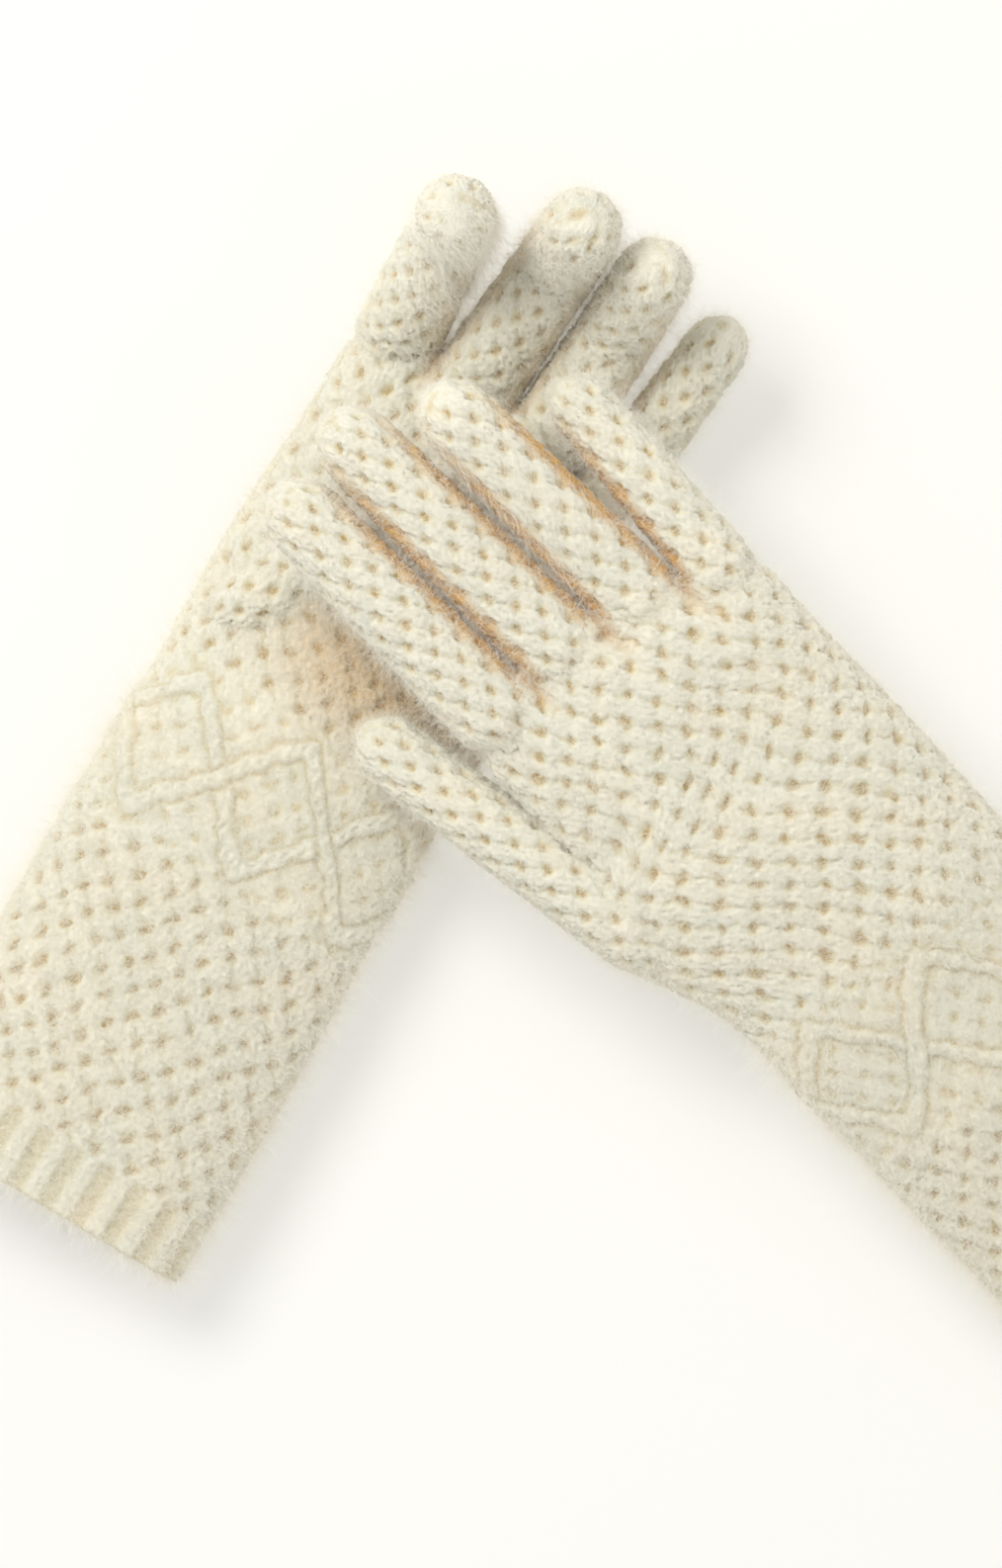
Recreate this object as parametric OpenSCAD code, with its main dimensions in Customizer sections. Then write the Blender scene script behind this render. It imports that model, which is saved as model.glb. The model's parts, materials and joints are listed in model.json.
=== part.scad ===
// A pair of long knitted gloves lying crossed: the left one palm up on the floor with its
// thumb folded over the palm, the right one palm down across it. One glove is modelled palm
// down with its fingers along +Y and its thumb on -X; the left glove is its mirror image in Z.

/* [Pair] */
// Heading of the left glove, clockwise from +Y
left_heading = 30.8; // [25:0.1:38]
// Heading of the right glove, anticlockwise from +Y
right_heading = 44; // [38:0.5:50]
// Rise of the right glove towards its fingertips
right_rise = 8.8; // [8.6:0.1:10]
// Middle of the left glove's finger line, across the floor
left_x = -27.2; // [-40:0.1:-10]
// Middle of the left glove's finger line, up the floor
left_y = 100.9; // [95:0.1:110]
// Middle of the right glove's finger line, across the floor
right_x = -8; // [-20:0.1:0]
// Middle of the right glove's finger line, up the floor
right_y = 42.8; // [36:0.1:50]

/* [Fingers] */
// Length of each finger: index, middle, ring, little
finger_len = [78, 82, 74, 61]; // [50:1:90]
// Radius of each finger at its root
finger_r = [10.8, 11, 10.6, 8.8]; // [8:0.1:12]
// Part of the root radius that is left at the fingertip
finger_taper = 0.88; // [0.8:0.01:0.95]
// Share of a finger's length behind its middle joint
finger_split = 0.52; // [0.48:0.01:0.56]
// Place of each finger's root across the hand
finger_x = [-31.2, -8.1, 14.8, 34.8]; // [-40:0.1:40]
// Place of each finger's root along the hand
finger_y = [0, 0, -5, -13]; // [-20:1:4]

/* [Thumb] */
// Length of the thumb behind its middle joint
thumb_base_len = 50; // [44:1:54]
// Length of the thumb's end
thumb_tip_len = 32; // [28:1:38]
// Radius of the thumb at its root
thumb_r = 9.6; // [8.5:0.1:10]

/* [Hand and forearm] */
// Half the width of the hand
hand_half_w = 42; // [40:0.5:44]
// Half the thickness of the wrist
wrist_half_t = 14; // [12:0.5:15]
// Distance from the finger line to the wrist seam
wrist_y = 108; // [104:1:112]
// Length of the diamond band
band_len = 40; // [36:1:44]
// Length of the plain sleeve
sleeve_len = 70; // [50:1:90]
// Length of the ribbed cuff
cuff_len = 18; // [14:1:30]
// Half the thickness of the cuff
cuff_half_t = 15; // [14:0.5:17]
// Thickness of the knitted wall
wall = 2.4; // [2:0.1:3]

/* [Hidden] */
$fn = 48;

LEFT = 0;
RIGHT = 1;
WOOL = "#efe6cf";
WOOL_SHADE = "#e2d6b8";

// Clearance between pieces that turn against each other
gap = 0.5;
// Furthest that a joint bends towards the palm, towards the back and sideways, from straight
palm_bend = 84;
back_bend = 44;
side_bend = 26;
big = 160;

// Bend at each knuckle and each middle joint as the gloves lie, left glove then right
knuckle_bend = [[40, 30, 22, 5], [3, 3, 0, 6]];
middle_bend = [[48, 43, 35, 17], [6, 5, 3, 8]];
// Fan of each finger, clockwise seen with the little finger on the right
fan = [[-4, 4.4, 2.6, 5.6], [-0.4, -1.2, -1.2, 3.6]];

// Thumb: root, swing towards the palm's middle, and pitch towards the palm, by glove
thumb_root = [[-26, -72, -9], [-45, -62, 0]];
thumb_swing = [30, -9.5];
thumb_pitch = [14, 9];
thumb_tip_pitch = [-12, 4];
// Outward swing that the hand leaves room for
thumb_room = 20;

floor_z = cuff_half_t;
cuff_end = wrist_y + band_len + sleeve_len + cuff_len;
right_z = floor_z * cos(right_rise) + (cuff_end + 1) * sin(right_rise);

// ---- placing -------------------------------------------------------------------------

module on_glove(side) {
    if (side == LEFT)
        translate([left_x, left_y, floor_z])
            rotate([0, 0, -left_heading])
                mirror([0, 0, 1])
                    children();
    else
        translate([right_x, right_y, right_z])
            rotate([0, 0, right_heading])
                rotate([right_rise, 0, 0])
                    children();
}

module at_knuckle(side, i) {
    translate([finger_x[i], finger_y[i], 0])
        rotate([0, 0, -fan[side][i]])
            rotate([-knuckle_bend[side][i], 0, 0])
                children();
}

module at_middle_joint(side, i) {
    at_knuckle(side, i)
        translate([0, finger_len[i] * finger_split, 0])
            rotate([-middle_bend[side][i], 0, 0])
                children();
}

module at_thumb_root(side, outward = 0) {
    translate(thumb_root[side])
        rotate([0, 0, outward - thumb_swing[side]])
            rotate([-thumb_pitch[side], 0, 0])
                children();
}

module at_thumb_joint(side) {
    at_thumb_root(side)
        translate([0, thumb_base_len, 0])
            rotate([-thumb_tip_pitch[side], 0, 0])
                children();
}

// ---- knitted tubes -------------------------------------------------------------------

// Everything in front of a plane through the joint's axis, tilted about X
module in_front(tilt) {
    rotate([tilt, 0, 0])
        translate([-big / 2, 0, -big / 2])
            cube([big, big, big]);
}

// Room that a child needs to bend both ways, cut from the end of its parent
module joint_room(r) {
    translate([0, -gap, 0]) {
        in_front(-palm_bend / 2);
        in_front(back_bend / 2);
        for (side = [-1, 1])
            rotate([0, 90, 0])
                in_front(side * side_bend / 2);
    }
    sphere(r + gap);
}

// The child's end, bevelled to bend both ways
module behind(tilt) {
    mirror([0, 1, 0])
        in_front(-tilt);
}

// Turned outline of the collar that closes the knit round a bent joint
module collar_outline(r) {
    intersection() {
        difference() {
            circle(r);
            circle(r - wall);
        }
        translate([r * 0.5, -r])
            square([r, r * 2]);
    }
}

module along_y() {
    rotate([-90, 0, 0])
        children();
}

module collar(r) {
    along_y()
        rotate_extrude()
            collar_outline(r);
}

module bevelled() {
    difference() {
        children();
        behind(palm_bend / 2);
        behind(-back_bend / 2);
        for (side = [-1, 1])
            rotate([0, 90, 0])
                behind(side * side_bend / 2);
    }
}

// Open tube from one joint to the next, with a collar at its root
module tube(r0, r1, len) {
    difference() {
        union() {
            bevelled()
                along_y()
                    rotate_extrude()
                        polygon([[r0 - wall, 0], [r0, 0], [r1, len], [r1 - wall, len]]);
            collar(r0);
        }
        translate([0, len, 0])
            joint_room(r1);
    }
}

// Half outline of a fingertip: a tapered side that ends in a dome
module tip_outline(r0, r1, len, inset) {
    dome = len - r1;
    intersection() {
        union() {
            polygon([[0, 0], [r0 - inset, 0], [r1 - inset, dome], [0, dome]]);
            translate([0, dome])
                circle(r1 - inset);
        }
        square([r0, len]);
    }
}

// Closed end of a finger, with a collar at its joint
module fingertip(r0, r1, len) {
    union() {
        bevelled()
            along_y()
                rotate_extrude()
                    difference() {
                        tip_outline(r0, r1, len, 0);
                        tip_outline(r0, r1, len, wall);
                    }
        collar(r0);
    }
}

function joint_r(i) = finger_r[i] * (1 + finger_taper) / 2;

module finger_base(side, i) {
    on_glove(side)
        at_knuckle(side, i)
            tube(finger_r[i], joint_r(i), finger_len[i] * finger_split);
}

module finger_tip(side, i) {
    on_glove(side)
        at_middle_joint(side, i)
            fingertip(joint_r(i), finger_r[i] * finger_taper, finger_len[i] * (1 - finger_split));
}

thumb_joint_r = thumb_r * (1 + finger_taper) / 2;

// The thumb bends across the hand, so its palm side is turned to face the fingers
module thumb_base(side) {
    on_glove(side)
        at_thumb_root(side)
            rotate([0, -90, 0])
                tube(thumb_r, thumb_joint_r, thumb_base_len);
}

module thumb_tip(side) {
    on_glove(side)
        at_thumb_joint(side)
            rotate([0, -90, 0])
                fingertip(thumb_joint_r, thumb_r * finger_taper, thumb_tip_len);
}

// ---- hand and forearm ----------------------------------------------------------------

// Rounded body from the finger roots to the wrist, grown by a margin
module hand_body(grow) {
    hull() {
        for (i = [0:3])
            translate([finger_x[i], finger_y[i], 0])
                sphere(finger_r[i] + grow, $fn = 32);
        for (side = [-1, 1])
            translate([side * (hand_half_w - wrist_half_t), -wrist_y, 0])
                sphere(wrist_half_t + grow, $fn = 32);
    }
}

// Everything past a finger's root, over that finger's width
module finger_bay(i) {
    left = i == 0 ? -big / 2 : (finger_x[i - 1] + finger_x[i]) / 2;
    right = i == 3 ? big / 2 : (finger_x[i] + finger_x[i + 1]) / 2;
    translate([left, finger_y[i] - gap, -big / 2])
        cube([right - left, big, big]);
}

module thumb_clearance(side) {
    for (outward = [0 : thumb_room / 2 : thumb_room])
        at_thumb_root(side, side == LEFT ? outward : outward * 0.75)
            along_y()
                cylinder(h = thumb_base_len, r = thumb_r + gap);
    translate(thumb_root[side])
        sphere(thumb_r + gap);
}

module hand(side) {
    on_glove(side)
        difference() {
            hand_body(0);
            hand_body(-wall);
            translate([-big / 2, -wrist_y - big, -big / 2])
                cube([big, big, big]);
            for (i = [0:3]) {
                finger_bay(i);
                translate([finger_x[i], finger_y[i], 0])
                    rotate([0, 0, -fan[side][i]])
                        joint_room(finger_r[i]);
            }
            thumb_clearance(side);
        }
}

// Flat rounded outline of the forearm
module flat_outline(half_w, half_t) {
    square([(half_w - half_t) * 2, half_t * 2], center = true);
    for (side = [-1, 1])
        translate([side * (half_w - half_t), 0])
            circle(half_t);
}

// A length of the forearm, from a distance behind the finger line
module forearm_ring(start, len, half_w, half_t) {
    translate([0, -start, 0])
        rotate([90, 0, 0])
            linear_extrude(len)
                difference() {
                    flat_outline(half_w, half_t);
                    flat_outline(half_w - wall, half_t - wall);
                }
}

module band(side) {
    on_glove(side)
        forearm_ring(wrist_y + gap, band_len - gap, hand_half_w, wrist_half_t);
}

module sleeve(side) {
    on_glove(side)
        forearm_ring(wrist_y + band_len, sleeve_len, hand_half_w + 0.5, wrist_half_t + 0.5);
}

module cuff(side) {
    on_glove(side)
        forearm_ring(wrist_y + band_len + sleeve_len, cuff_len, hand_half_w + 1, cuff_half_t);
}

// ---- sub-parts -----------------------------------------------------------------------

module left_hand() { color(WOOL) hand(LEFT); }
module left_band() { color(WOOL_SHADE) band(LEFT); }
module left_sleeve() { color(WOOL) sleeve(LEFT); }
module left_cuff() { color(WOOL_SHADE) cuff(LEFT); }
module left_thumb_base() { color(WOOL_SHADE) thumb_base(LEFT); }
module left_thumb_tip() { color(WOOL) thumb_tip(LEFT); }
module left_index_base() { color(WOOL_SHADE) finger_base(LEFT, 0); }
module left_index_tip() { color(WOOL) finger_tip(LEFT, 0); }
module left_middle_base() { color(WOOL_SHADE) finger_base(LEFT, 1); }
module left_middle_tip() { color(WOOL) finger_tip(LEFT, 1); }
module left_ring_base() { color(WOOL_SHADE) finger_base(LEFT, 2); }
module left_ring_tip() { color(WOOL) finger_tip(LEFT, 2); }
module left_little_base() { color(WOOL_SHADE) finger_base(LEFT, 3); }
module left_little_tip() { color(WOOL) finger_tip(LEFT, 3); }
module right_hand() { color(WOOL) hand(RIGHT); }
module right_band() { color(WOOL_SHADE) band(RIGHT); }
module right_sleeve() { color(WOOL) sleeve(RIGHT); }
module right_cuff() { color(WOOL_SHADE) cuff(RIGHT); }
module right_thumb_base() { color(WOOL_SHADE) thumb_base(RIGHT); }
module right_thumb_tip() { color(WOOL) thumb_tip(RIGHT); }
module right_index_base() { color(WOOL_SHADE) finger_base(RIGHT, 0); }
module right_index_tip() { color(WOOL) finger_tip(RIGHT, 0); }
module right_middle_base() { color(WOOL_SHADE) finger_base(RIGHT, 1); }
module right_middle_tip() { color(WOOL) finger_tip(RIGHT, 1); }
module right_ring_base() { color(WOOL_SHADE) finger_base(RIGHT, 2); }
module right_ring_tip() { color(WOOL) finger_tip(RIGHT, 2); }
module right_little_base() { color(WOOL_SHADE) finger_base(RIGHT, 3); }
module right_little_tip() { color(WOOL) finger_tip(RIGHT, 3); }

left_hand();
left_band();
left_sleeve();
left_cuff();
left_thumb_base();
left_thumb_tip();
left_index_base();
left_index_tip();
left_middle_base();
left_middle_tip();
left_ring_base();
left_ring_tip();
left_little_base();
left_little_tip();
right_hand();
right_band();
right_sleeve();
right_cuff();
right_thumb_base();
right_thumb_tip();
right_index_base();
right_index_tip();
right_middle_base();
right_middle_tip();
right_ring_base();
right_ring_tip();
right_little_base();
right_little_tip();
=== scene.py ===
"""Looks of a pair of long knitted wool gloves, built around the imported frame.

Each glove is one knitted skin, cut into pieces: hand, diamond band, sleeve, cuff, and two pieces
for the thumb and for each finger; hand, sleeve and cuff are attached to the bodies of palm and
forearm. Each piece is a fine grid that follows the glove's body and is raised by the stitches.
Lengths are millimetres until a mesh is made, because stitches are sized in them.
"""

import json
import math

import bpy
import numpy as np
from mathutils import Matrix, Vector


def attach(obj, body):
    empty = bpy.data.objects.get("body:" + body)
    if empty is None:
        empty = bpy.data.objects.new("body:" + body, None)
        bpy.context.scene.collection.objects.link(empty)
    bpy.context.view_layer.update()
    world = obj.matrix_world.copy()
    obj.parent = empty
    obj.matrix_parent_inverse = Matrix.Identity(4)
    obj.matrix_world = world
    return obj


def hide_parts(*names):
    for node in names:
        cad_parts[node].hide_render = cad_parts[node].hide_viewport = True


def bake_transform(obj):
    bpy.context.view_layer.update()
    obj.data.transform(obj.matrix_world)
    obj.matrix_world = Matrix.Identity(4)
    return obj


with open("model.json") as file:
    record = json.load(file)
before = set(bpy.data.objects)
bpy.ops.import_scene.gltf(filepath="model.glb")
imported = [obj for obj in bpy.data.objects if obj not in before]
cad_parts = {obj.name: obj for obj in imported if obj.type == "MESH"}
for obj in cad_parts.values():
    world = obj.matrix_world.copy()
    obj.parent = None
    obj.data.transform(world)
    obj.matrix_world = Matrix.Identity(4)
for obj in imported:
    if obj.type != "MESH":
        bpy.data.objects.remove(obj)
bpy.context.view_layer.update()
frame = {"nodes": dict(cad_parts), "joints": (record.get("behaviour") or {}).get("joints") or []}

MM = 0.001
JOINTS = {joint["name"]: joint for joint in frame["joints"]}
FINGERS = ("index", "middle", "ring", "little")

# Stitches: half the moss stitch's repeat across and along the knit, and its relief
WALE = 4.5
COURSE = 5.25
RELIEF = 1.9
# How far the ground of the knit lies under the CAD surface, so that its bumps reach it
SINK = 1.2
# Spacing of the grid that carries the stitches, and the knit's own thickness
GRID = 0.58
WALL = 2.4

# The hand, from the finger line back to the wrist seam
WRIST_Y = 108.0
HAND_HALF_W = 42.0
WRIST_HALF_T = 14.0
KNUCKLE_HALF_T = 11.0
# Where each finger starts across the hand, and its radius
FINGER_X = {"index": -31.2, "middle": -8.1, "ring": 14.8, "little": 34.8}
FINGER_R = {"index": 10.8, "middle": 11.0, "ring": 10.6, "little": 8.8}
THUMB_R = 9.6
# How far the upper glove presses the thumb under it into the palm, and how far behind its root
# the pressing starts
PRESSED = 13.0
PRESSED_FROM = 25.0
# How far the hand widens to meet the thumb beside it
THUMB_BULGE = 11.0
# Where the thumb's stitches are counted from along the hand, and how far behind its root it starts
THUMB_LINE = -60.0
THUMB_TAIL = 18.0
# A finger's tip radius as a share of its root radius, and its rounded end's length as a share of
# its tip radius
TAPER = 0.86
DOME = 1.25
# Half the length that a joint bends over
BEND = 10.0
# Half the length of a diamond, along the arm
DIAMOND_HALF_H = 18.0
# The reach of the painted warm glow under the upper glove's fingers, across and along from its middle
PAINTED_GLOW_HALF_W = 62.0
PAINTED_GLOW_HALF_L = 68.0
PAINTED_GLOW_MIDDLE = (-12.0, -8.0)
# Where band, sleeve and cuff end, measured from the finger line
BAND_Y = 148.0
SLEEVE_Y = 218.0
CUFF_Y = 236.0
CUFF_HALF_T = 15.0
# How many loose fibres stand on each square millimetre, and the longest of them
HAIRS_PER_SQUARE_MM = 3.2
HAIR_LENGTH = 2.7


# ---- small maths ---------------------------------------------------------------------


def unit(v):
    return v / np.linalg.norm(v)


def smooth(t):
    t = np.clip(t, 0, 1)
    return t * t * (3 - 2 * t)


def bell(x, width):
    return np.exp(-((x / width) ** 2))


def wobble(p, size, seed):
    """Smooth noise from about -1 to 1 at points p, with features of that size."""
    rng = np.random.default_rng(seed)
    total = np.zeros(p.shape[:-1])
    for _ in range(7):
        heading = unit(rng.normal(size=p.shape[-1]))
        pitch = 2 * math.pi / size * rng.uniform(0.6, 1.4)
        total += np.sin(p @ heading * pitch + rng.uniform(0, 2 * math.pi))
    return total / 3


# ---- stitches ------------------------------------------------------------------------


def nearest_stitch(u, v):
    """Offset of each point from the nearest bump of the staggered lattice, and its column and row."""
    i = np.round(u / WALE)
    j = np.round(v / COURSE)
    ru = u / WALE - i
    rv = v / COURSE - j
    odd = (i + j) % 2 != 0
    sideways = odd & (np.abs(ru) > np.abs(rv))
    lengthways = odd & ~sideways
    i = i + np.where(sideways, np.where(ru < 0, -1, 1), 0)
    j = j + np.where(lengthways, np.where(rv < 0, -1, 1), 0)
    return u - i * WALE, v - j * COURSE, i, j


def strands(du, dv, pitch=2.1, half_len=4.4):
    """Three yarns side by side, rounded, that dip under their neighbours at both ends."""
    across = np.abs((du + pitch / 2) % pitch - pitch / 2) / (pitch / 2)
    inside = smooth((1.7 * pitch - np.abs(du)) / 0.8)
    along = np.clip(1 - (dv / half_len) ** 4, 0, 1)
    return np.sqrt(np.clip(1 - 0.9 * across**2, 0, 1)) * inside * along


def plies(along, across):
    """Twist of the plied yarn: fine slanting ridges."""
    return np.cos(2 * math.pi * (along * 0.8 + across * 0.75) / 1.5)


def moss(u, v):
    """Moss stitch with slanting pits: height from 0 in a pit to about 1 on a yarn, and the painted shade
    that darkens its pits and low places.
    """
    row_wave = np.cos(math.pi * v / COURSE)
    lattice = np.cos(math.pi * u / WALE) * row_wave
    from_row = v - COURSE * np.round(v / COURSE)
    slanted = np.cos(math.pi * (u - 0.3 * from_row) / WALE)
    slit = slanted * np.abs(slanted) ** 0.5 * row_wave
    pit = smooth((-slit - 0.33) / 0.6)
    du, dv, i, j = nearest_stitch(u, v)
    lean = 0.3 + 0.3 * np.sin(i * 2.3 + j * 1.7)
    du = du + 0.5 * np.sin(v * 1.9 + i * 2.0) + 0.25 * np.sin(v * 4.3 + j)
    yarn = strands(du + lean * dv, dv)
    ground = 0.22 + 0.2 * smooth((lattice + 1) / 1.5)
    height = (1 - pit) * (ground + 0.53 * yarn + 0.06 * plies(dv, du))
    # Painted shade: pits and the low places between yarns are darkened, the pits by a strength that
    # varies at random from pit to pit
    strength = 0.8 + 0.35 * np.sin(i * 5.1 + j * 3.7)
    return height, strength * pit**1.5 + 0.75 * np.clip(0.7 - height, 0, 1)


def rope(along, across, half=2.0):
    """A raised line of stitches: two rows of slanting yarn side by side."""
    inside = np.clip(1 - (across / half) ** 2, 0, 1)
    slant = np.cos(2 * math.pi * (along - np.abs(across) * 1.1) / 3.9)
    split = bell(across, 0.4)
    return np.sqrt(inside) * (0.9 + 0.2 * slant) - 0.22 * split * (inside > 0)


def diamonds(u, v, repeat, middle):
    """A row of diamonds outlined by two ropes that cross between them, on a quiet moss ground."""
    softness = 0.985
    wave = np.arcsin(softness * np.cos(math.pi * u / repeat)) / math.asin(softness)
    slope = DIAMOND_HALF_H * 2 / repeat
    lean = 1 / math.hypot(1, slope)
    height, pit = moss(u, v)
    height = 0.25 + 0.6 * height
    pit = 0.55 * pit
    for sign in (-1, 1):
        across = (v - middle - sign * DIAMOND_HALF_H * wave) * lean
        line = rope(u / lean, across)
        # Painted shade in the troughs beside each rope, taken off the rope itself
        trough = bell(np.abs(across) - 2.4, 0.75)
        height = np.maximum(height * (1 - 0.6 * trough), 0.3 + 1.05 * line)
        pit = np.maximum(pit, 0.65 * trough) * (1 - smooth(line * 2))
    return height, pit


def arm_knit(glove, u, v):
    """Moss stitch with the row of diamonds across it."""
    height, pit = moss(u, v)
    lifted, pit_shade = diamonds(u - 3, v, ROUND / 6, glove.band_middle)
    near = smooth((DIAMOND_HALF_H + 6 - np.abs(v - glove.band_middle)) / 4)
    return height + (lifted - height) * near, pit + (pit_shade - pit) * near


def rib(u, v):
    """Two-and-two rib: smooth columns of knit stitches with sunk columns between them, darkened by
    painted shade.
    """
    column = np.cos(2 * math.pi * u / (2 * WALE))
    crest = smooth((column + 0.6) / 1.1)
    dv = (v % 4.2) - 2.1
    du = (u + WALE) % (2 * WALE) - WALE
    yarn = strands(du + 0.35 * np.abs(dv), dv, half_len=3.0)
    # Painted shade in the sunk columns
    return 0.12 + crest * (0.45 + 0.4 * yarn), 0.5 * (1 - crest)


# ---- meshes --------------------------------------------------------------------------


def grid_normals(points):
    """Unit normals of a grid whose columns go right round."""
    across = np.roll(points, -1, 1) - np.roll(points, 1, 1)
    along = np.gradient(points, axis=0)
    normals = np.cross(across, along)
    size = np.linalg.norm(normals, axis=2, keepdims=True)
    return normals / np.maximum(size, 1e-9)


def outward(points, normals):
    """Turns the normals away from the grid's own middle line."""
    middle = points.mean(axis=1, keepdims=True)
    facing = np.sum((points - middle) * normals)
    return normals if facing > 0 else -normals


class Skin:
    """Grids of one piece, gathered until the mesh is made."""

    def __init__(self):
        self.points, self.faces, self.uv, self.pit, self.warm = [], [], [], [], []
        self.count = 0

    def add(self, points, uv, pit, warm=0.0, flip=False, cap=False):
        rows, cols = points.shape[:2]
        index = np.arange(rows * cols).reshape(rows, cols) + self.count
        right = np.roll(index, -1, 1)
        quads = np.stack([index[:-1], right[:-1], right[1:], index[1:]], axis=-1).reshape(-1, 4)
        self.faces += (quads[:, ::-1] if flip else quads).tolist()
        if cap:
            last = index[-1] if not flip else index[-1][::-1]
            self.faces.append(last.tolist())
        self.points.append(points.reshape(-1, 3))
        self.uv.append(uv.reshape(-1, 2))
        self.pit.append(pit.reshape(-1))
        self.warm.append(np.broadcast_to(warm, (rows, cols)).reshape(-1))
        self.count += rows * cols

    def build(self, name):
        mesh = bpy.data.meshes.new(name)
        points = np.concatenate(self.points) * MM
        mesh.from_pydata(points.tolist(), [], self.faces)
        uv = np.concatenate(self.uv) * MM
        layer = mesh.uv_layers.new(name="knit")
        loops = np.zeros(len(mesh.loops), np.int32)
        mesh.loops.foreach_get("vertex_index", loops)
        layer.data.foreach_set("uv", uv[loops].astype(np.float32).ravel())
        # Per point: the painted shade of the pits and the painted warm glow, both standing in for light
        # and shade
        for label, values in (("pit", self.pit), ("warm", self.warm)):
            attribute = mesh.attributes.new(label, "FLOAT", "POINT")
            attribute.data.foreach_set("value", np.concatenate(values).astype(np.float32))
        mesh.shade_smooth()
        piece = bpy.data.objects.new(name, mesh)
        bpy.context.scene.collection.objects.link(piece)
        return piece


def fibres(shape, seed):
    """Fine roughness of matted wool, in stitch heights."""
    grain = np.random.default_rng(seed).normal(size=shape)
    soft = (grain + np.roll(grain, 1, 0) + np.roll(grain, 1, 1) + np.roll(grain, -1, 1)) / 2
    from_edge = np.minimum(np.arange(shape[0]), np.arange(shape[0])[::-1])
    return 0.07 * soft * np.clip((from_edge - 1) / 3, 0, 1)[:, None]


def raise_stitches(points, height, fade=1.0, seed=1):
    """Moves a grid out along its normals, to ground plus stitch height."""
    normals = outward(points, grid_normals(points))
    lift = ((height + fibres(height.shape, seed)) * RELIEF - SINK) * fade
    return points + normals * np.asarray(lift)[..., None]


# ---- a glove's own frame -------------------------------------------------------------


def joint_place(name):
    return np.array(JOINTS[name]["pos_m"], float) / MM


def joint_axis(name):
    return unit(np.array(JOINTS[name]["axis"], float))


def node_points(node):
    mesh = frame["nodes"][node].data
    points = np.zeros(len(mesh.vertices) * 3, np.float32)
    mesh.vertices.foreach_get("co", points)
    return points.reshape(-1, 3).astype(float) / MM


class Glove:
    """One glove's frame: x across to the little finger, y to the fingertips, n up from the floor."""

    def __init__(self, side):
        self.side = side
        cuff = node_points(f"{side}_cuff").mean(0)
        band = node_points(f"{side}_band").mean(0)
        self.y = unit(band - cuff)
        index = joint_place(f"{side}_index_knuckle")
        little = joint_place(f"{side}_little_knuckle")
        across = joint_axis(f"{side}_wrist")
        across = across * np.sign(across @ (little - index))
        self.x = unit(across - self.y * (across @ self.y))
        self.n = np.cross(self.x, self.y)
        self.origin = cuff + self.y * ((index - cuff) @ self.y)
        # How far the knit slants across the glove, and where the middle of its diamonds is
        self.skew = 0.2 if side == "right" else 0.06
        self.band_middle = -137.0 if side == "right" else -120.0
        self.seed = 11 if side == "right" else 47

    def world(self, x, y, n):
        x, y, n = np.broadcast_arrays(x, y, n)
        return self.origin + x[..., None] * self.x + y[..., None] * self.y + n[..., None] * self.n

    def bias(self, u, v, x):
        """Stitch coordinates with the knit's own slant and unevenness."""
        p = np.stack([u, v], axis=-1)
        u2 = u + 0.8 * wobble(p, 34, self.seed) + 0.55 * wobble(p, 7, self.seed + 1)
        v2 = v + self.skew * x + 0.8 * wobble(p, 38, self.seed + 2) + 0.6 * wobble(p, 8, self.seed + 3)
        return u2, v2


# ---- hand and forearm ----------------------------------------------------------------


def section(columns, exponent=2.35):
    """Unit cross-section, starting under the middle and going round, and its unrolled coordinate."""
    fine = np.linspace(-math.pi / 2, 1.5 * math.pi, 4001)
    power = 2 / exponent
    x = np.sign(np.cos(fine)) * np.abs(np.cos(fine)) ** power
    n = np.sign(np.sin(fine)) * np.abs(np.sin(fine)) ** power
    run = np.hypot(np.diff(x) * HAND_HALF_W, np.diff(n) * WRIST_HALF_T)
    run = np.concatenate([[0], np.cumsum(run)])
    at = np.linspace(0, run[-1], columns + 1)[:-1]
    repeats = round(run[-1] / (2 * WALE))
    turned = (at / run[-1] - 0.5) * repeats * 2 * WALE
    return np.interp(at, run, x), np.interp(at, run, n), -turned, repeats * 2 * WALE


COLUMNS = 340
SECTION_X, SECTION_N, SECTION_U, ROUND = section(COLUMNS)


def finger_line(x):
    """How far along the hand it ends, at each place across it."""
    return np.interp(x, [-30, -8, 15, 23, 30], [0, 0, -5, -8, -13])


def edges(glove, y):
    """Left and right edge and half thickness of the glove at a distance along it."""
    near = smooth((y + WRIST_Y) / WRIST_Y)
    right = HAND_HALF_W + 1.4 * near
    left = np.full_like(near, -HAND_HALF_W)
    if glove.side == "right":
        widening = smooth((y + 104) / 44)
        narrowing = smooth((y + 60) / 16)
        left = left - THUMB_BULGE * widening * (1 - narrowing)
    thick = WRIST_HALF_T + (KNUCKLE_HALF_T - WRIST_HALF_T) * near
    past = smooth((-y - BAND_Y) / (CUFF_Y - BAND_Y))
    left = left - 1.0 * past
    right = right + 1.0 * past
    thick = thick + (CUFF_HALF_T - WRIST_HALF_T) * past
    return left, right, thick


def crotches():
    return [(FINGER_X[a] + FINGER_X[b]) / 2 for a, b in zip(FINGERS, FINGERS[1:])]


def crease(x, y):
    """How deep a point lies in the creases that run back from between the fingers."""
    reach = smooth((y - finger_line(x) + 24) / 24) ** 2
    return reach * sum(bell(x - place, 2.6) for place in crotches())


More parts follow.
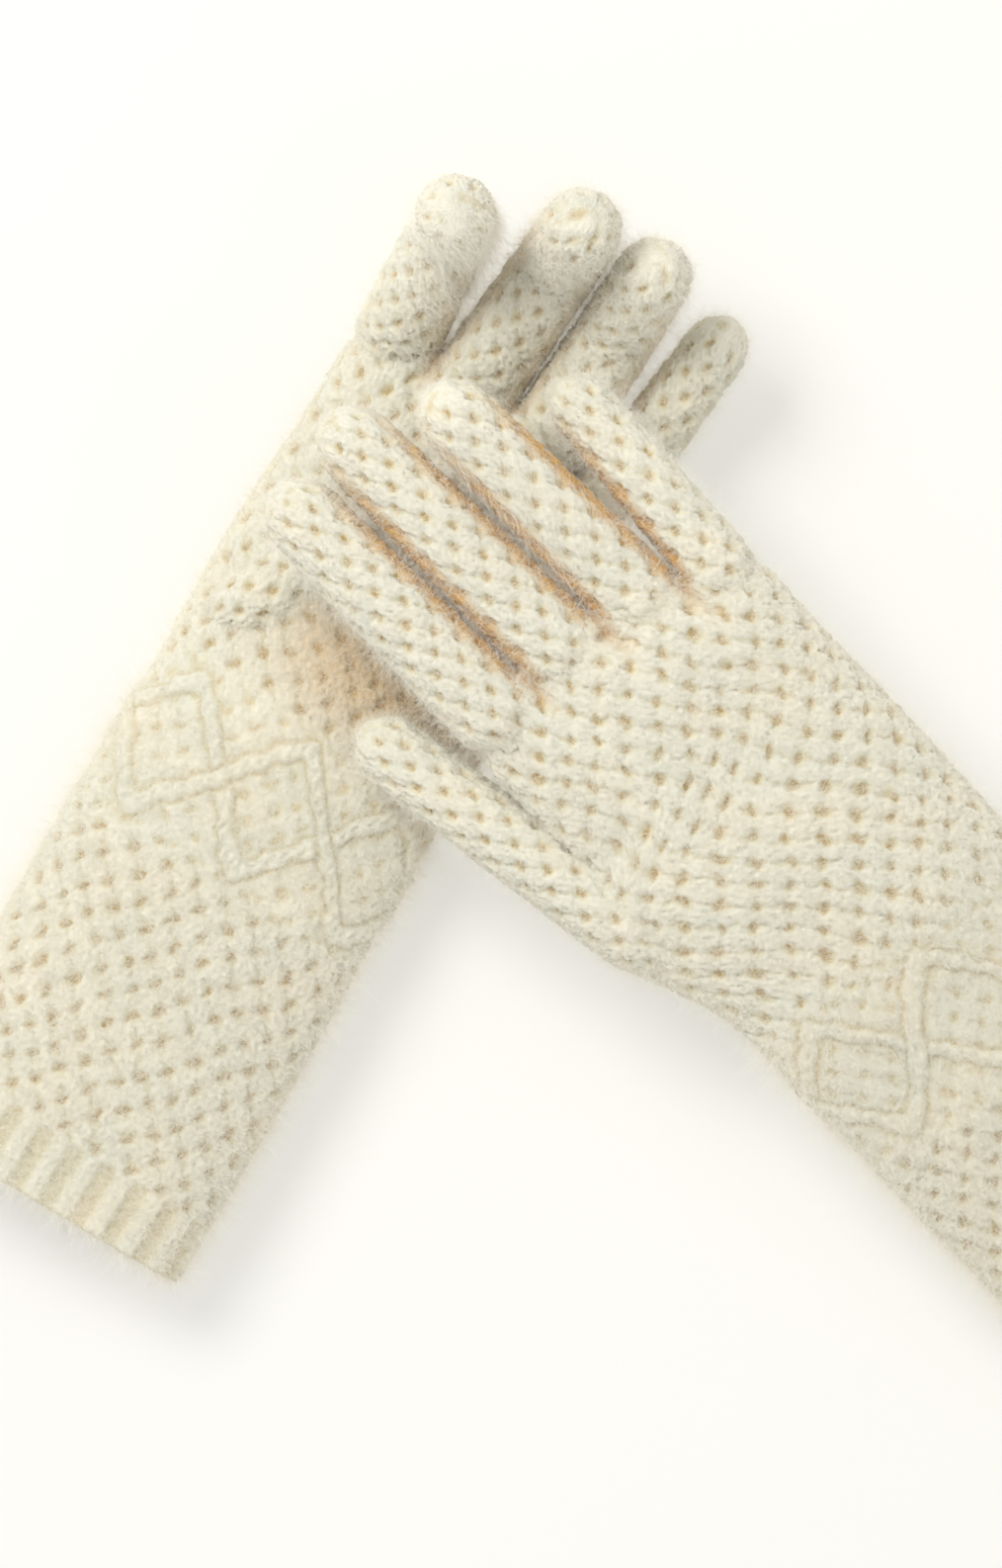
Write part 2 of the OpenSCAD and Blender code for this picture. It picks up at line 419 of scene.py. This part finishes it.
def body_grid(glove, y, end=None, inset=0.0):
    """Smooth surface of hand or forearm on rows y (rows, columns)."""
    left, right, thick = edges(glove, y)
    middle = (left + right) / 2
    x = middle + (right - left - 2 * inset) / 2 * SECTION_X
    n = (thick - inset) * SECTION_N
    near = smooth((y - finger_line(x) + 12) / 12)
    x = middle + (x - middle) * (1 - 0.08 * near)
    n = n * (1 - 0.16 * near) * (1 - 0.5 * crease(x, y))
    if end is not None:
        n = n * end
    p = np.stack([x, y, n], axis=-1)
    n = n + 0.5 * wobble(p, 60, glove.seed + 5) * np.abs(SECTION_N)
    x = x + 0.6 * wobble(p, 75, glove.seed + 6)
    return glove.world(x, y, n), x


def under_upper(points):
    """How far points lie under the upper glove's fingers, where a painted warm glow stands for the light
    bounced into their shade.
    """
    upper = Glove("right")
    offset = points - upper.origin
    across = smooth((PAINTED_GLOW_HALF_W - np.abs(offset @ upper.x - PAINTED_GLOW_MIDDLE[0])) / 25)
    along = smooth((PAINTED_GLOW_HALF_L - np.abs(offset @ upper.y - PAINTED_GLOW_MIDDLE[1])) / 30)
    return across * along


def past_both_ends(y):
    """The rows with one more at each end, so that neighbouring pieces share their edges' slope."""
    return np.concatenate([y[:1] * 2 - y[1:2], y, y[-1:] * 2 - y[-2:-1]])


def stitched_body(glove, y, end=None):
    """Skin of hand or forearm: its grid, its stitch coordinates, its painted pit shade and its painted
    warm glow.
    """
    y = past_both_ends(y)
    if end is not None:
        end = np.concatenate([end[:1], end, end[-1:]])
    points, x = body_grid(glove, y, end)
    u = np.broadcast_to(SECTION_U, y.shape)
    u2, v2 = glove.bias(u, y, x)
    height, pit = arm_knit(glove, u2, v2)
    ribbed, pit_shade = rib(u, y)
    cuffed = smooth((-SLEEVE_Y - y) / 2.5)
    height = height + (ribbed - height) * cuffed
    pit = pit + (pit_shade - pit) * cuffed
    fade = 1.0 if end is None else 0.4 + 0.6 * end
    points = raise_stitches(points, height, fade, glove.seed + int(-y[0, 0]))
    # Painted warm glow, standing for bounced light in the shade of the creases between the finger roots
    warm = 0.8 * np.clip(crease(x, y), 0, 1) ** 2
    # Painted glow on the left glove's upper face under the right glove's fingers; it stays there when
    # the gloves move apart
    if glove.side == "left":
        warm = np.maximum(warm, 0.55 * under_upper(points) * (SECTION_N > 0))
    return points[1:-1], np.stack([u, y], axis=-1)[1:-1], pit[1:-1], warm[1:-1]


def lining(skin, glove, y):
    """The knit's inner face, seen through the cuff."""
    points, _ = body_grid(glove, y, inset=WALL)
    u = np.broadcast_to(SECTION_U, y.shape)
    height, pit = moss(u, y)
    normals = outward(points, grid_normals(points))
    uv = np.stack([u, y], axis=-1)
    # The inner face is darker all over, painted shade for the inside of the knit, with its pits shaded
    # too
    skin.add(points - normals * (0.5 * height)[..., None], uv, 0.35 + 0.5 * pit, flip=True)


def rows(start, stop, step=GRID):
    count = max(2, int(abs(stop - start) / step) + 1)
    return np.linspace(start, stop, count)


def across_rows(y):
    return np.broadcast_to(y[:, None], (len(y), COLUMNS)).copy()


def hand(glove):
    skin = Skin()
    s = rows(0, 1, GRID / WRIST_Y)[:, None]
    _, right, _ = edges(glove, np.array(0.0))
    ends = finger_line(right * SECTION_X)[None, :]
    y = -WRIST_Y + s * (WRIST_Y + ends)
    turn = np.linspace(0, 0.98 * math.pi / 2, 9)[1:, None]
    past = ends + 4.0 * np.sin(turn)
    y = np.concatenate([y, past])
    end = np.concatenate([np.ones((len(s), 1)), np.cos(turn)])
    skin.add(*stitched_body(glove, y, np.broadcast_to(end, y.shape)))
    lining(skin, glove, across_rows(rows(-WRIST_Y, -24, 2.0)))
    return skin.build(f"{glove.side}_hand_knit")


def forearm_length(glove, name, start, stop):
    """One stretch of the arm, with its lining."""
    skin = Skin()
    skin.add(*stitched_body(glove, across_rows(rows(-start, -stop))))
    lining(skin, glove, across_rows(rows(-start, -stop, 2.0)))
    return skin.build(f"{glove.side}_{name}_knit")


def cuff(glove):
    """Ribbed cuff, turned over its own edge to the inner face."""
    skin = Skin()
    points, uv, pit, _ = stitched_body(glove, across_rows(rows(-SLEEVE_Y, -CUFF_Y + 1.2)))
    normals = outward(points, grid_normals(points))
    turns = []
    for angle in np.linspace(0, math.pi, 7)[1:]:
        back = points[-1] - glove.y * (1.2 * math.sin(angle))
        turns.append(back - normals[-1] * (1.3 * (1 - math.cos(angle))))
    inner = [turns[-1] + glove.y * step for step in np.arange(1.0, CUFF_Y - SLEEVE_Y, 1.0)]
    lip = np.array(turns + inner)
    edge_uv = np.broadcast_to(uv[-1], lip.shape[:2] + (2,)).copy()
    edge_uv[..., 1] -= np.arange(1, len(lip) + 1)[:, None]
    # The turned lip carries the edge row's painted pit shade over, raised to at least 0.2
    tone = np.broadcast_to(np.maximum(pit[-1], 0.2), lip.shape[:2])
    skin.add(np.concatenate([points, lip]), np.concatenate([uv, edge_uv]), np.concatenate([pit, tone]))
    return skin.build(f"{glove.side}_cuff_knit")


# ---- fingers and thumb ---------------------------------------------------------------


class Finger:
    """A tube from the hand past two joints to a closed tip."""

    def __init__(self, glove, name):
        self.glove, self.name = glove, name
        self.thumb = name == "thumb"
        stem = f"{glove.side}_{name}"
        self.root = joint_place(f"{stem}_root" if self.thumb else f"{stem}_knuckle")
        self.middle = joint_place(f"{stem}_middle")
        end = node_points(f"{stem}_tip")
        reach = np.linalg.norm(end - self.middle, axis=1)
        cap = end[reach > reach.max() - 0.6]
        self.tip = cap.mean(0)
        self.first = unit(self.middle - self.root)
        self.second = unit(self.tip - self.middle)
        self.base_len = np.linalg.norm(self.middle - self.root)
        self.length = self.base_len + reach.max()
        self.radius = THUMB_R if self.thumb else FINGER_R[name]
        self.before = -THUMB_TAIL if self.thumb else -BEND
        self.dome = self.radius * TAPER * DOME
        self.entry = self.first if self.thumb else glove.y
        self.seam = self.base_len * 0.5
        self.seed = glove.seed + 20 + len(name)
        self.bodies = (f"{glove.side}_palm", stem, f"{stem}_end")

    def heading(self, s):
        """Direction of the middle line, turning evenly through each joint."""
        k = smooth((s + BEND) / (2 * BEND))[:, None]
        m = smooth((s - self.base_len + BEND) / (2 * BEND))[:, None]
        first = self.entry * (1 - k) + self.first * k
        return first * (1 - m) + self.second * m

    def spine(self, s):
        """The middle line at distances s from the root."""
        fine = np.arange(self.before - 1, self.length + 1, 0.1)
        steps = np.cumsum(self.heading(fine) * 0.1, axis=0)
        anchor = np.array([np.interp(self.seam, fine, steps[:, k]) for k in range(3)])
        steps = steps - anchor + self.root + self.first * self.seam
        if self.thumb and self.glove.side == "left":
            reach = smooth((fine + PRESSED_FROM) / (self.base_len + PRESSED_FROM))
            steps = steps - self.glove.n * PRESSED * reach[:, None]
        return np.stack([np.interp(s, fine, steps[:, k]) for k in range(3)], axis=-1)

    def radius_at(self, s):
        """Radius along the finger: tapering, round at the tip, and drawn in where it leaves the hand."""
        body = self.radius * (1 - (1 - TAPER) * np.clip(s / self.length, 0, 1))
        past = np.clip((s - self.length + self.dome) / self.dome, 0, 1)
        body = body * np.sqrt(np.clip(1 - past**2.1, 0, 1))
        if self.thumb:
            behind = np.clip(-s / -self.before, 0, 1)
            return body * np.sqrt(np.clip(1 - behind**2, 0, 1))
        return body * (1 - 0.3 * smooth(-s / BEND))

    def grid(self, s):
        """Smooth surface of the tube on rows at distances s, and each column's angle round it."""
        columns = int(2 * math.pi * self.radius / GRID)
        angle = np.linspace(-math.pi / 2, 1.5 * math.pi, columns + 1)[:-1]
        tangent = self.heading(s)
        tangent = tangent / np.linalg.norm(tangent, axis=1, keepdims=True)
        side = self.glove.x - tangent * (tangent @ self.glove.x)[:, None]
        side = side / np.linalg.norm(side, axis=1, keepdims=True)
        up = np.cross(side, tangent)
        r = self.radius_at(s)[:, None, None]
        ring = side[:, None] * np.cos(angle)[None, :, None] + up[:, None] * np.sin(angle)[None, :, None]
        return self.spine(s)[:, None] + ring * r, angle

    def rows_along(self, start, stop):
        """Distances of a piece's rows, with one more past each open end, closing up over a tip."""
        s = rows(start, stop)
        before = [s[0] - GRID]
        if stop < self.length:
            return np.concatenate([before, s, [s[-1] + GRID]])
        straight = s[s < self.length - self.dome - GRID / 2]
        turn = np.linspace(0, 1, int(self.dome * 1.7 / GRID))
        closing = self.length - self.dome * (1 - np.sin(turn * math.pi / 2))
        closing[-1] = self.length - 0.01
        return np.concatenate([before, straight, closing])

    def stitches(self, s, angle, turned, v):
        """Height of the stitches and their painted pit shade, matted into small knobs over the tip."""
        seed = self.seed
        ring = np.broadcast_arrays(np.cos(angle) * 8, np.sin(angle) * 8, v)
        round_it = np.stack(ring, axis=-1)
        u = FINGER_X.get(self.name, 0) + turned + 0.5 * wobble(round_it, 30, seed)
        slant = self.glove.skew * np.cos(angle) * self.radius
        height, pit = moss(u, v + slant + 0.5 * wobble(round_it, 26, seed + 1))
        share = (self.radius_at(s) / self.radius)[:, None]
        across = share * self.radius
        on_tip = np.stack([across * np.cos(angle), across * np.sin(angle), v], axis=-1)
        knobs = wobble(on_tip, 5.5, seed + 2)
        matted = smooth((0.85 - share) / 0.4) * (s[:, None] > 0)
        height = height + (0.66 + 0.24 * knobs - height) * matted
        # Painted shade in the hollows between the knobs
        pit = pit + (smooth(-0.6 * knobs) * 0.8 - pit) * matted
        return height, pit

    def piece(self, start, stop, name):
        """The stitched tube from start to stop, closed if it reaches the tip."""
        ends_in_tip = stop >= self.length
        s = self.rows_along(start, stop)
        points, angle = self.grid(s)
        repeats = round(2 * math.pi * self.radius / (2 * WALE))
        turned = (math.pi / 2 - angle) * repeats * 2 * WALE / (2 * math.pi)
        line = THUMB_LINE if self.thumb else finger_line(FINGER_X[self.name])
        v = np.broadcast_to((s + line)[:, None], points.shape[:2])
        height, pit = self.stitches(s, angle, turned, v)
        share = (self.radius_at(s) / self.radius)[:, None]
        fade = np.clip(share / 0.4, 0.3, 1)
        points = raise_stitches(points, height, fade, self.seed + ends_in_tip)
        uv = np.stack([turned * np.clip(share / 0.75, 0.05, 1), v], axis=-1)
        warm = self.painted_glow_at(s, angle)
        kept = slice(1, None if ends_in_tip else -1)
        skin = Skin()
        skin.add(points[kept], uv[kept], pit[kept], warm[kept], cap=ends_in_tip)
        return skin.build(name)

    def painted_glow_at(self, s, angle):
        """How much painted warm glow, standing for light caught between this finger and its neighbours,
        lies on its sides.
        """
        lateral = np.cos(angle)[None]
        right = smooth((lateral - 0.6) / 0.3) * (self.name not in ("little", "thumb"))
        left = smooth((-lateral - 0.6) / 0.3) * (self.name not in ("index", "thumb"))
        strength = 1.0 if self.glove.side == "right" else 0.3
        return strength * (right + left) * smooth((self.length - s) / 30)[:, None]

    def build(self):
        """Both pieces, each shaped over the bend at its own joint."""
        stem = f"{self.glove.side}_{self.name}"
        base = self.piece(self.before, self.seam, f"{stem}_base_knit")
        tip = self.piece(self.seam, self.length, f"{stem}_tip_knit")
        fit(base, f"{stem}_base", "moss_wool")
        fit(tip, f"{stem}_tip", "moss_wool")
        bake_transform(base)
        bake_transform(tip)


# ---- materials -----------------------------------------------------------------------


def node(tree, kind, **inputs):
    made = tree.nodes.new(kind)
    for name, value in inputs.items():
        made.inputs[name].default_value = value
    return made


def colour_ramp(tree, stops):
    ramp = tree.nodes.new("ShaderNodeValToRGB")
    elements = ramp.color_ramp.elements
    while len(elements) < len(stops):
        elements.new(1.0)
    for element, (place, colour) in zip(elements, stops):
        element.position = place
        element.color = (*colour, 1)
    return ramp


def sum_of(tree, a, weight, b):
    """A node that gives a * weight + b."""
    made = tree.nodes.new("ShaderNodeMath")
    made.operation = "MULTIPLY_ADD"
    tree.links.new(a, made.inputs[0])
    made.inputs[1].default_value = weight
    if isinstance(b, float):
        made.inputs[2].default_value = b
    else:
        tree.links.new(b, made.inputs[2])
    return made.outputs[0]


def mix_of(tree, blend, factor, a, b):
    """A node that blends colours a and b."""
    made = tree.nodes.new("ShaderNodeMix")
    made.data_type = "RGBA"
    made.blend_type = blend
    for place, value in ((0, factor), (6, a), (7, b)):
        if isinstance(value, (float, tuple)):
            made.inputs[place].default_value = value
        else:
            tree.links.new(value, made.inputs[place])
    return made.outputs[2]


def wool_material(name):
    """Soft cream wool: pale yarn with painted shade in its pits, a painted warm glow of bounced light
    between the fingers, and matted fibres.
    """
    material = bpy.data.materials.new(name)
    material.use_nodes = True
    tree = material.node_tree
    shader = tree.nodes["Principled BSDF"]
    uv = tree.nodes.new("ShaderNodeUVMap")
    uv.uv_map = "knit"
    pit = tree.nodes.new("ShaderNodeAttribute")
    pit.attribute_name = "pit"
    warm = tree.nodes.new("ShaderNodeAttribute")
    warm.attribute_name = "warm"

    matting = node(tree, "ShaderNodeTexNoise", Scale=850.0, Detail=6.0, Roughness=0.7)
    hairs = node(tree, "ShaderNodeTexNoise", Scale=2300.0, Detail=3.0, Roughness=0.6, Distortion=1.5)
    patches = node(tree, "ShaderNodeTexNoise", Scale=55.0, Detail=2.0)
    for texture in (matting, hairs, patches):
        tree.links.new(uv.outputs["UV"], texture.inputs["Vector"])

    # Tone: random mottling of the fibres added to the painted pit shade; the ramp turns it from pale
    # cream to brown
    tone = sum_of(tree, matting.outputs["Fac"], 0.75, pit.outputs["Fac"])
    tone = sum_of(tree, hairs.outputs["Fac"], 0.3, tone)
    tone = sum_of(tree, tone, 0.62, -0.2)
    yarn = colour_ramp(tree, [
        (0.06, (0.97, 0.945, 0.84)),
        (0.30, (0.91, 0.86, 0.68)),
        (0.58, (0.80, 0.69, 0.46)),
        (0.95, (0.60, 0.44, 0.20)),
    ])
    tree.links.new(tone, yarn.inputs["Fac"])
    cast = colour_ramp(tree, [(0.36, (0.92, 0.95, 0.94)), (0.64, (1.0, 0.98, 0.93))])
    tree.links.new(patches.outputs["Fac"], cast.inputs["Fac"])
    colour = mix_of(tree, "MULTIPLY", 0.8, yarn.outputs["Color"], cast.outputs["Color"])
    # Painted warm glow: orange that stands for light bounced between the wool in shaded creases and gaps
    painted_glow_share = sum_of(tree, warm.outputs["Fac"], 0.9, 0.0)
    colour = mix_of(tree, "MIX", painted_glow_share, colour, (0.70, 0.37, 0.05, 1.0))
    tree.links.new(colour, shader.inputs["Base Color"])

    relief = sum_of(tree, hairs.outputs["Fac"], 0.6, matting.outputs["Fac"])
    bump = node(tree, "ShaderNodeBump", Strength=0.7, Distance=0.0007)
    tree.links.new(relief, bump.inputs["Height"])
    tree.links.new(bump.outputs["Normal"], shader.inputs["Normal"])
    shader.inputs["Roughness"].default_value = 0.92
    shader.inputs["Specular IOR Level"].default_value = 0.2
    shader.inputs["Sheen Weight"].default_value = 0.3
    shader.inputs["Sheen Roughness"].default_value = 0.5
    shader.inputs["Sheen Tint"].default_value = (1.0, 0.98, 0.93, 1)
    return material


def fuzz_material():
    material = bpy.data.materials.new("wool_fuzz")
    material.use_nodes = True
    shader = material.node_tree.nodes["Principled BSDF"]
    shader.inputs["Base Color"].default_value = (0.96, 0.93, 0.84, 1)
    shader.inputs["Roughness"].default_value = 0.8
    shader.inputs["Specular IOR Level"].default_value = 0.2
    return material


MATERIALS = {
    "moss_wool": wool_material("moss_wool"),
    "cable_wool": wool_material("cable_wool"),
    "rib_wool": wool_material("rib_wool"),
}
FUZZ = fuzz_material()


def add_fuzz(piece):
    """Loose fibres that stand off the yarn."""
    area = sum(face.area for face in piece.data.polygons) / MM**2
    modifier = piece.modifiers.new("fuzz", "PARTICLE_SYSTEM")
    hairs = modifier.particle_system.settings
    modifier.particle_system.seed = len(piece.name)
    hairs.type = "HAIR"
    hairs.count = int(area * HAIRS_PER_SQUARE_MM)
    hairs.hair_length = HAIR_LENGTH * MM
    hairs.hair_step = 4
    hairs.emit_from = "FACE"
    hairs.use_emit_random = True
    hairs.use_advanced_hair = True
    hairs.factor_random = 0.002
    hairs.brownian_factor = 0.002
    hairs.length_random = 0.7
    hairs.render_type = "PATH"
    hairs.root_radius = 0.055
    hairs.tip_radius = 0.015
    hairs.radius_scale = MM
    hairs.material = 2
    piece.data.materials.append(FUZZ)


def fit(piece, cad_node, slot):
    """Gives a piece its wool and its fuzz, and hides the CAD node that it stands for."""
    piece.data.materials.append(MATERIALS[slot])
    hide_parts(cad_node)
    add_fuzz(piece)


def glove(side):
    """All the pieces of one glove, from the hand back to the cuff and then its fingers."""
    made = Glove(side)
    palm, forearm = f"{side}_palm", f"{side}_forearm"
    piece = hand(made)
    fit(piece, f"{side}_hand", "moss_wool")
    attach(piece, palm)
    piece = forearm_length(made, "band", WRIST_Y, BAND_Y)
    fit(piece, f"{side}_band", "cable_wool")
    near = made.world(0, -WRIST_Y - 1, 0)
    far = made.world(0, -WRIST_Y - 24, 0)
    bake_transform(piece)
    piece = forearm_length(made, "sleeve", BAND_Y, SLEEVE_Y)
    fit(piece, f"{side}_sleeve", "moss_wool")
    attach(piece, forearm)
    piece = cuff(made)
    fit(piece, f"{side}_cuff", "rib_wool")
    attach(piece, forearm)
    for name in ("thumb", *FINGERS):
        Finger(made, name).build()


# ---- camera, floor and light ---------------------------------------------------------


def add_camera():
    """Straight above, from far off, aimed beside the upper glove's fingers."""
    height = 4.0
    frame_height = 0.3965
    knuckle = joint_place("right_middle_knuckle") * MM
    aim = Vector((knuckle[0] - 0.0144, knuckle[1] - 0.0346, 0.028))
    data = bpy.data.cameras.new("camera")
    data.sensor_width = 36
    data.lens = data.sensor_width * height / frame_height
    camera = bpy.data.objects.new("camera", data)
    camera.location = aim + Vector((0, 0, height))
    bpy.context.scene.collection.objects.link(camera)
    bpy.context.scene.camera = camera


def add_floor():
    """A plain pale sheet just under the gloves, lit enough to come out nearly white."""
    size = 6.0
    mesh = bpy.data.meshes.new("floor")
    corners = [(-size, -size, 0), (size, -size, 0), (size, size, 0), (-size, size, 0)]
    mesh.from_pydata(corners, [], [(0, 1, 2, 3)])
    floor = bpy.data.objects.new("floor", mesh)
    floor.location.z = -0.0013
    material = bpy.data.materials.new("floor")
    material.use_nodes = True
    shader = material.node_tree.nodes["Principled BSDF"]
    shader.inputs["Base Color"].default_value = (0.50, 0.495, 0.475, 1)
    shader.inputs["Emission Color"].default_value = (1.0, 0.99, 0.945, 1)
    shader.inputs["Emission Strength"].default_value = 0.45
    shader.inputs["Roughness"].default_value = 1.0
    shader.inputs["Specular IOR Level"].default_value = 0.0
    mesh.materials.append(material)
    bpy.context.scene.collection.objects.link(floor)


def add_light(name, place, size, watts, colour):
    data = bpy.data.lights.new(name, "AREA")
    data.size = size
    data.energy = watts
    data.color = colour
    light = bpy.data.objects.new(name, data)
    light.location = place
    light.rotation_euler = (-Vector(place)).to_track_quat("-Z", "Y").to_euler()
    bpy.context.scene.collection.objects.link(light)


def add_studio():
    """Soft light from all round, with a broad lamp on one side and a weak one opposite."""
    world = bpy.data.worlds.new("studio")
    world.use_nodes = True
    sky = world.node_tree.nodes["Background"]
    sky.inputs["Color"].default_value = (1.0, 0.995, 0.98, 1)
    sky.inputs["Strength"].default_value = 0.64
    bpy.context.scene.world = world
    add_light("key", (-0.8, 0.9, 1.5), 0.8, 22, (1.0, 0.985, 0.96))
    add_light("fill", (1.2, -0.6, 1.4), 1.4, 3, (0.98, 0.99, 1.0))
    bpy.context.scene.view_settings.view_transform = "Standard"


add_camera()
add_floor()
add_studio()
for side in ("left", "right"):
    glove(side)
